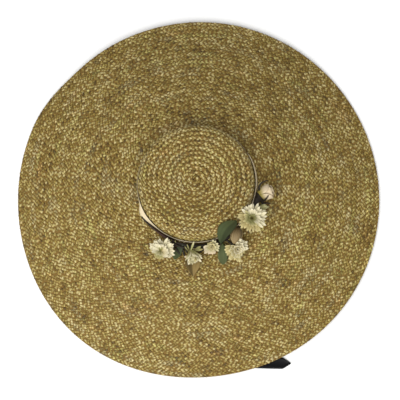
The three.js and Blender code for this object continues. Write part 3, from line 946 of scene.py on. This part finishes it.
flower(
    "flower_2",
    by_wall(265.6, 9.5, 68.0),
    70,
    288,
    [
        (9, 14.0, 6.0, 56, 1.6, 0.5, 0, 360, (GREENISH, GREENISH, CREAM)),
        (9, 15.5, 5.2, 64, 1.4, 1.0, 20, 360, (GREENISH, CREAM, IVORY)),
        (8, 15.5, 4.2, 74, 1.0, 1.5, 0, 360, (GREENISH, CREAM)),
        (5, 15.0, 3.6, 84, 0.6, 1.5, 30, 360, (STRAWY, YELLOWISH)),
    ],
    bracts=[
        (by_wall(265.4, 11.5, 71), by_wall(268.4, 0.4, 74), 2.2, (GREENISH, GREENISH, CREAM)),
        (by_wall(264.6, 11.5, 68), by_wall(261.4, 3.6, 69), 1.5, (BRACT, GREENISH)),
        (by_wall(263.6, 12.0, 67), by_wall(259.6, 6.4, 67), 1.3, (BRACT, GREENISH)),
        (by_wall(264.2, 17.7, 65), by_wall(260.6, 17.9, 64.5), 2.8, (STRAWY, PINKISH)),
        (by_wall(264.8, 18.5, 64), by_wall(261.2, 25.5, 62), 1.4, (GREENISH, YELLOWISH)),
        (by_wall(268.6, 9.5, 70), by_wall(274.4, 6.4, 71), 2.6, (BRACT, GREENISH)),
        (by_wall(268.0, 10.5, 69), by_wall(275.8, 9.6, 69), 2.6, (BRACT, GREENISH, STRAWY)),
    ],
    seed=12,
)
flower(
    "flower_3",
    by_wall(283.6, 7.6, 66.5),
    22,
    258,
    [
        (4, 10.0, 3.6, 14, 1.0, 0.5, 200, 56, (YELLOWISH, CREAM, PINKISH)),
        (4, 8.4, 3.8, 10, 1.0, 0.6, 268, 70, (YELLOWISH, PINKISH)),
        (6, 8.4, 2.6, 14, 1.0, 0.5, 20, 130, (GREENISH, CREAM)),
        (5, 6.0, 3.2, 24, 0.8, 0.6, 110, 80, (GREENISH, YELLOWISH)),
        (7, 6.0, 3.0, 40, 0.6, 1.0, 0, 360, (GREENISH, YELLOWISH, CREAM)),
        (4, 4.0, 2.6, 62, 0.4, 1.2, 40, 360, (STRAWY, CREAM)),
    ],
    seed=13,
)
flower(
    "flower_4",
    by_wall(301.6, 20.6, 63.5),
    20,
    290,
    [
        (9, 14.5, 4.4, 14, 1.2, 0.5, 224, 130, (GREENISH, YELLOWISH, YELLOWISH)),
        (6, 12.5, 4.2, 18, 1.2, 0.8, 44, 86, (STRAWY, CREAM, IVORY)),
        (4, 8.5, 4.2, 16, 1.0, 0.5, 318, 80, (STRAWY, YELLOWISH)),
        (9, 11.0, 4.0, 34, 1.0, 1.2, 228, 170, (STRAWY, YELLOWISH, CREAM)),
        (6, 9.5, 4.0, 32, 1.0, 1.4, 44, 110, (STRAWY, IVORY)),
        (9, 8.0, 3.8, 52, 0.8, 1.8, 10, 360, (YELLOWISH, IVORY)),
        (5, 5.5, 3.2, 70, 0.4, 2.0, 0, 360, (STRAWY, IVORY)),
    ],
    seed=14,
)
flower(
    "flower_5",
    by_wall(325.4, 9.2, 80.0),
    8,
    328,
    [
        (6, 15.0, 3.5, 8, 1.2, 3.0, 112, 66, (CREAM, IVORY)),
        (10, 16.0, 3.3, 10, 1.2, 3.2, 12, 120, (STRAWY, CREAM, IVORY)),
        (8, 15.5, 3.4, 6, 1.2, 3.0, 266, 112, (GREENISH, STRAWY, YELLOWISH)),
        (7, 14.5, 3.4, 0, 1.2, 1.8, 188, 80, (BRACT, STRAWY, YELLOWISH)),
        (9, 11.0, 3.4, 26, 1.0, 3.8, 30, 180, (GREENISH, CREAM, IVORY)),
        (8, 10.5, 3.4, 26, 1.0, 3.8, 215, 180, (BRACT, GREENISH, YELLOWISH)),
        (7, 5.6, 3.0, 48, 0.6, 4.2, 0, 360, (BRACT, GREENISH)),
    ],
    seed=15,
)

# %% [markdown]
# ## Leaves
# The green leaves are dry and stiff, folded a little at the midrib. The tan one below the
# second flower is folded to a V. The big dark one leans over the crown's shoulder.


# %% Leaf maker
def leaf(name, base, tip, breadth, colours, bank=0.0, slot_name="green_leaf", **form):
    """A blade between two places round the crown, banked round its midrib."""
    form = {"outline": LEAF_OUTLINE, "cup": -0.1, "curl": 0.0, "fold": 0.18, "wave": 0.08, **form}
    shape = new_shape()
    place, length = between(by_wall(*base), by_wall(*tip))
    place = place @ Matrix.Rotation(math.radians(bank), 4, "Y")
    blade(shape, place, length, breadth, colours, steps=(8, 14), seed=float(len(name)), **form)
    finish_piece(name + "_blade", shape, LEAF_GREEN, [name])
    print(name, "is", round(length, 1), "mm long")


leaf(
    "leaf_left", (257.3, 3.0, 65.5), (253.2, 22.8, 60.8), 9.4,
    (linear(78, 84, 70), linear(64, 72, 46), linear(74, 82, 52)), bank=12,
)
leaf(
    "leaf_mid", (292.8, 7.6, 67.5), (288.0, 30.0, 59.2), 11.0,
    (linear(60, 68, 40), linear(80, 86, 56), linear(74, 80, 50)), bank=-6,
)
# painted shade on its right-hand half
leaf(
    "leaf_tan", (267.2, 14.0, 62.4), (267.7, 38.4, 58.2), 18.0,
    (linear(116, 98, 58), linear(130, 110, 68)),
    fold=0.55, right_share=0.48, outline=FOLDED_OUTLINE, slot_name="tan_leaf",
)
# painted shade on its right-hand half
leaf(
    "leaf_big", (291.6, 8.4, 72.5), (314.2, -1.0, 89.6), 16.5,
    (linear(58, 66, 40), linear(66, 74, 46), linear(54, 58, 30)),
    bank=28, bow=-0.16, right_share=0.6,
)
leaf(
    "leaf_tip", (338.8, 9.6, 65.0), (341.6, 19.6, 62.6), 7.6,
    (linear(124, 120, 76), linear(176, 172, 124), linear(190, 186, 142)),
    outline=FOLDED_OUTLINE, wave=0.5,
)

# %% [markdown]
# ## Buds
# The rosebud is a cup of wrapped petals, so it is made of overlapping shells: each is a
# grid bent round the bud's axis, and the inner ones are narrower and reach further. The
# brown bud is the same with narrower scales, drawn in to a point.


# %% Bud maker
def wrapped_bud(name, node, middle, heading, rise, length, radius, tip_share, shells):
    """Shells round an axis; the tip share says how far the outline closes at the tip.

    A shell's row: its turn and reach in degrees, its shares of the radius and of the
    length, and its colours from the base.
    """
    shape = new_shape()
    tone_layer = shape.verts.layers.float_color["tone"]
    frame_at = aim(middle, 90 - rise, heading) @ Matrix.Translation((0, 0, -length / 2))
    for turn, reach, swell, top, colours in shells:
        made = bmesh.ops.create_grid(shape, x_segments=10, y_segments=10, size=0.5)["verts"]
        spots = {}
        for vertex in made:
            across, along = vertex.co.x * 2, vertex.co.y + 0.5
            narrowed = 1 - 0.5 * along**5
            angle = math.radians(turn) + across * math.radians(reach) / 2 * narrowed
            up_by = along * top
            round_by = math.sin(math.pi * min(1.0, 0.04 + tip_share * up_by**0.85)) ** 0.8
            flare = 1 + 0.14 * abs(across) ** 3 * along
            spots[vertex] = (along, across)
            at = Vector((math.cos(angle), math.sin(angle), 0)) * radius * round_by * swell * flare
            vertex.co = frame_at @ (at + Vector((0, 0, up_by * length)))
            vertex[tone_layer] = (*toned(colours, along), 1.0)
        map_and_thicken(shape, made, spots)
    finish_piece(name, shape, PAPERY_PETAL, [node])
    print(name, "has", len(shells), "wrapped petals")


ROSE, ROSE_DIM, ROSE_GREEN = linear(208, 190, 158), linear(176, 154, 108), linear(150, 136, 66)
OUTER_ROSE = (ROSE_GREEN, ROSE_GREEN, ROSE, ROSE)
INNER_ROSE = (ROSE_DIM, ROSE_DIM, ROSE)
wrapped_bud(
    "rosebud_petals", "rosebud", by_wall(351.4, 12.2, 68.8), 14, 14, 19.0, 7.4, 0.72,
    [
        (30, 300, 0.34, 0.98, INNER_ROSE),
        (150, 240, 0.55, 1.0, INNER_ROSE),
        (330, 220, 0.72, 0.98, INNER_ROSE),
        (90, 150, 0.9, 0.96, OUTER_ROSE),
        (210, 160, 0.94, 0.94, OUTER_ROSE),
        (330, 150, 0.97, 0.92, OUTER_ROSE),
        (150, 120, 1.04, 0.84, OUTER_ROSE),
        (28, 110, 1.08, 0.9, (ROSE_GREEN, ROSE_DIM, ROSE)),
        (270, 120, 1.1, 0.86, OUTER_ROSE),
    ],
)
BUD_DARK, BUD_TAN, BUD_PALE = linear(84, 68, 40), linear(136, 116, 78), linear(180, 164, 122)
wrapped_bud(
    "bud_brown_scales", "bud_brown", by_wall(306.4, 8.8, 71.5), 255, -4, 20.0, 5.9, 0.93,
    [
        (0, 150, 1.0, 0.99, (BUD_DARK, BUD_TAN)),
        (90, 150, 1.02, 0.99, (BUD_DARK, BUD_TAN)),
        (180, 150, 1.04, 0.98, (BUD_DARK, BUD_TAN, BUD_PALE)),
        (270, 150, 1.05, 0.97, (BUD_TAN, BUD_PALE)),
        (205, 70, 1.12, 0.86, (BUD_DARK, BUD_PALE, BUD_PALE)),
        (150, 70, 1.1, 0.74, (BUD_DARK, BUD_TAN)),
        (265, 70, 1.1, 0.8, (BUD_TAN, BUD_PALE, BUD_PALE)),
    ],
)

# %% [markdown]
# ## Stalks
# A dark stalk ties the garland together along the foot of the crown, thickest in front,
# and short side stalks carry the flowers and leaves. The near black of stem and stalks is
# partly their own colour and partly painted shade: the thick stem in front, extra side
# stalks between the front flowers and the broad calyx fill dark gaps where the garland
# shades the brim. The rosebud sits in a dark calyx, a cup at the end of its own stalk,
# with three dry sepals curling from it.

# %% Stalks and sepals
NEAR_BLACK, BURGUNDY = linear(34, 26, 14), linear(60, 36, 24)


def stalk(shape, route, radii, steps, knots=0.0):
    """A near black twig through places round the crown."""
    points = [by_wall(*at) for at in route]
    twig(shape, points, radii, (NEAR_BLACK, NEAR_BLACK), steps, knots)


shape = new_shape()
# azimuth, distance out from the wall, height above the brim, radius
STEM = [
    (210, 5.6, 1.6, 0.8),
    (218, 4.6, 1.8, 1.1),
    (228, 3.4, 2.2, 1.3),
    (240, 3.2, 2.4, 1.6),
    (254, 4.4, 2.2, 2.1),
    (268, 4.6, 2.2, 2.3),
    (284, 4.6, 2.2, 2.3),
    (300, 4.4, 2.2, 2.0),
    (316, 3.6, 2.0, 1.6),
]
stem_points = [by_wall(row[0], row[1], brim_height(*row[:2]) + row[2]) for row in STEM]
stem_tones = (NEAR_BLACK, NEAR_BLACK, BURGUNDY, NEAR_BLACK, NEAR_BLACK, NEAR_BLACK, NEAR_BLACK)
twig(shape, stem_points, [row[3] for row in STEM], stem_tones, steps=90, knots=0.35)
# Some of these side stalks are extra dark masses between flower_1, leaf_left and flower_2: painted
# shade as well as stalks.
SIDE_STALKS = [
    [(247.0, 4.6, 64.5), (245.2, 8.4, 65.0), (243.4, 14.0, 64.6)],
    [(252.0, 4.6, 64.5), (251.0, 8.4, 64.4), (249.6, 12.0, 64.0)],
    [(254.5, 4.4, 65.0), (256.4, 4.0, 65.6), (257.0, 5.0, 65.4)],
    [(248.5, 5.4, 65.4), (254.0, 7.6, 66.0), (261.0, 8.0, 66.2)],
    [(251.5, 9.5, 63.6), (255.0, 13.5, 63.2), (258.5, 17.0, 62.8)],
    [(258.0, 9.0, 64.2), (259.6, 13.0, 63.6), (260.6, 17.0, 62.8)],
    [(259.0, 5.0, 64.4), (260.6, 8.6, 64.4), (262.4, 13.0, 64.4)],
    [(263.0, 5.0, 65.0), (264.4, 7.4, 66.6), (265.6, 10.4, 68.0)],
    [(276.0, 5.0, 64.4), (275.4, 9.0, 64.6), (272.0, 12.4, 65.0)],
    [(281.0, 5.0, 64.8), (282.6, 6.4, 66.0), (283.6, 8.2, 66.6)],
    [(290.0, 5.0, 65.0), (291.6, 6.6, 66.6), (292.4, 8.4, 67.4)],
    [(288.0, 5.0, 65.0), (290.6, 7.6, 68.6), (291.8, 9.0, 71.6)],
    [(297.0, 5.0, 64.6), (299.0, 10.4, 64.6), (301.0, 17.0, 64.4)],
    [(303.0, 5.0, 64.8), (305.6, 6.6, 67.0), (308.8, 6.6, 70.4)],
    [(314.0, 4.6, 64.8), (319.4, 6.4, 70.0), (324.6, 8.6, 79.0)],
]
for route in SIDE_STALKS:
    stalk(shape, route, (1.3, 1.0), steps=10, knots=0.2)
finish_piece("stem_twig", shape, DARK_STALK, ["garland_stem"])

shape = new_shape()
# The calyx cup is made broad and near black: partly its own colour, partly painted shade under the
# bud.
CALYX = [(331.0, 5.4, 64.6), (338.0, 3.8, 65.6), (344.6, 4.4, 66.6), (348.6, 8.4, 68.0)]
stalk(shape, CALYX, (1.8, 2.6, 4.8, 6.4), steps=26, knots=0.2)
SEPALS = [
    [(351.6, 5.0, 72.0), (355.6, 5.0, 75.6), (358.6, 8.2, 77.6), (360.4, 14.6, 77.6)],
    [(345.2, 9.4, 68.0), (343.6, 11.9, 70.4), (346.4, 15.2, 74.8), (348.8, 16.6, 77.0)],
    [(344.6, 8.8, 65.6), (342.6, 11.6, 65.8), (343.5, 15.6, 66.0), (344.3, 20.8, 65.2)],
]
for route in SEPALS:
    stalk(shape, route, (1.3, 0.6), steps=16)
finish_piece("calyx_sepals", shape, DARK_STALK, ["calyx"])
print("stalks and sepals are in place")

# %% [markdown]
# ## The black ties
# Two black satin ribbons are sewn inside the foot of the crown. They hang down and lie
# on the floor under the brim, and only the pointed end of one shows past the rim in
# front. Each is a long grid laid along the same route as its solid.

# %% Ties
TIE_WIDTH = 13.0
TIE_SPEAR = 9.0
TIE_INNER = CROWN_RADIUS - WALL_LEAN - STRAW - TIE_WIDTH**2 / (8 * CROWN_RADIUS) - CLEAR
HEADING_REACH = 1.5
# azimuth, share of the way out from the wall's inside to the rim, height share
TIE_LEFT = [
    (205.0, 0, 1.065),
    (205.0, 0.0014, 0.871),
    (205.0, 0.0218, 0.548),
    (205.5, 0.074, 0.21),
    (208.9, 0.1727, 0.039),
    (216.9, 0.3063, 0),
    (229.9, 0.4741, 0),
    (245.1, 0.6225, 0),
    (260.5, 0.7372, 0),
    (275.8, 0.8412, 0),
    (288.3, 0.9419, 0),
    (299.0, 1.0667, 0),
]
TIE_RIGHT = [
    (335.0, 0, 1.065),
    (335.0, 0.0014, 0.871),
    (335.0, 0.0229, 0.548),
    (335.5, 0.0784, 0.21),
    (337.5, 0.1808, 0.039),
    (343.3, 0.3355, 0),
    (353.8, 0.5184, 0),
    (366.8, 0.6423, 0),
    (380.7, 0.724, 0),
    (394.8, 0.7641, 0),
    (409.6, 0.7729, 0),
    (422.5, 0.7677, 0),
]
BLACK_SATIN = plain_finish("black_satin", linear(8, 8, 11), 0.5)
BLACK_SATIN.node_tree.nodes["Principled BSDF"].inputs["Specular IOR Level"].default_value = 0.12


def tie_points(rows):
    points = []
    for azimuth, out, height in rows:
        radius = TIE_INNER + (RIM_RADIUS - TIE_INNER) * out
        angle = math.radians(azimuth)
        points.append(
            (
                CROWN_MIDDLE[0] * (1 - out) + radius * math.cos(angle),
                CROWN_MIDDLE[1] * (1 - out) + radius * math.sin(angle),
                max(FOOT_HEIGHT * height, 0.55),
            )
        )
    return np.array(points)


def lay_tie(name, node, rows):
    points = tie_points(rows)
    spans = np.sqrt(np.linalg.norm(np.diff(points, axis=0), axis=1))
    keys = np.concatenate([[0], np.cumsum(spans)])
    fine = np.linspace(0, keys[-1], 1500)
    path = np.stack([smooth_curve(keys, points[:, i], fine) for i in range(3)], axis=1)
    path[:, 2] = np.maximum(path[:, 2], 0.5)
    run = np.concatenate([[0], np.cumsum(np.linalg.norm(np.diff(path, axis=0), axis=1))])

    def at_length(length):
        return np.array([np.interp(length, run, path[:, i]) for i in range(3)])

    shape = bmesh.new()
    bmesh.ops.create_grid(shape, x_segments=150, y_segments=6, size=0.5)
    for vertex in shape.verts:
        at, across = (vertex.co.x + 0.5) * run[-1], vertex.co.y
        middle = Vector(at_length(at))
        # where the tie hangs, its heading is that of the stretch still to come
        further = at + HEADING_REACH + 0.5 * middle.z
        heading = at_length(further) - at_length(at - HEADING_REACH)
        side = Vector((-heading[1], heading[0], 0)).normalized()
        breadth = TIE_WIDTH * (0.04 + 0.96 * min(1.0, (run[-1] - at) / TIE_SPEAR))
        lifted = 0.5 * (1 + math.sin(at * 0.09)) * (2 * across) ** 2 * (middle.z < 3)
        vertex.co = middle + side * (across * breadth) + Vector((0, 0, lifted))
    bmesh.ops.recalc_face_normals(shape, faces=shape.faces)
    if sum(face.normal.z for face in shape.faces) < 0:
        bmesh.ops.reverse_faces(shape, faces=shape.faces)
    bmesh.ops.solidify(shape, geom=shape.faces[:], thickness=SATIN)
    piece = finish_piece(name, shape, BLACK_SATIN, [node])
    print(name, "is", round(run[-1]), "mm long")


lay_tie("tie_left_satin", "tie_left", TIE_LEFT)
lay_tie("tie_right_satin", "tie_right", TIE_RIGHT)
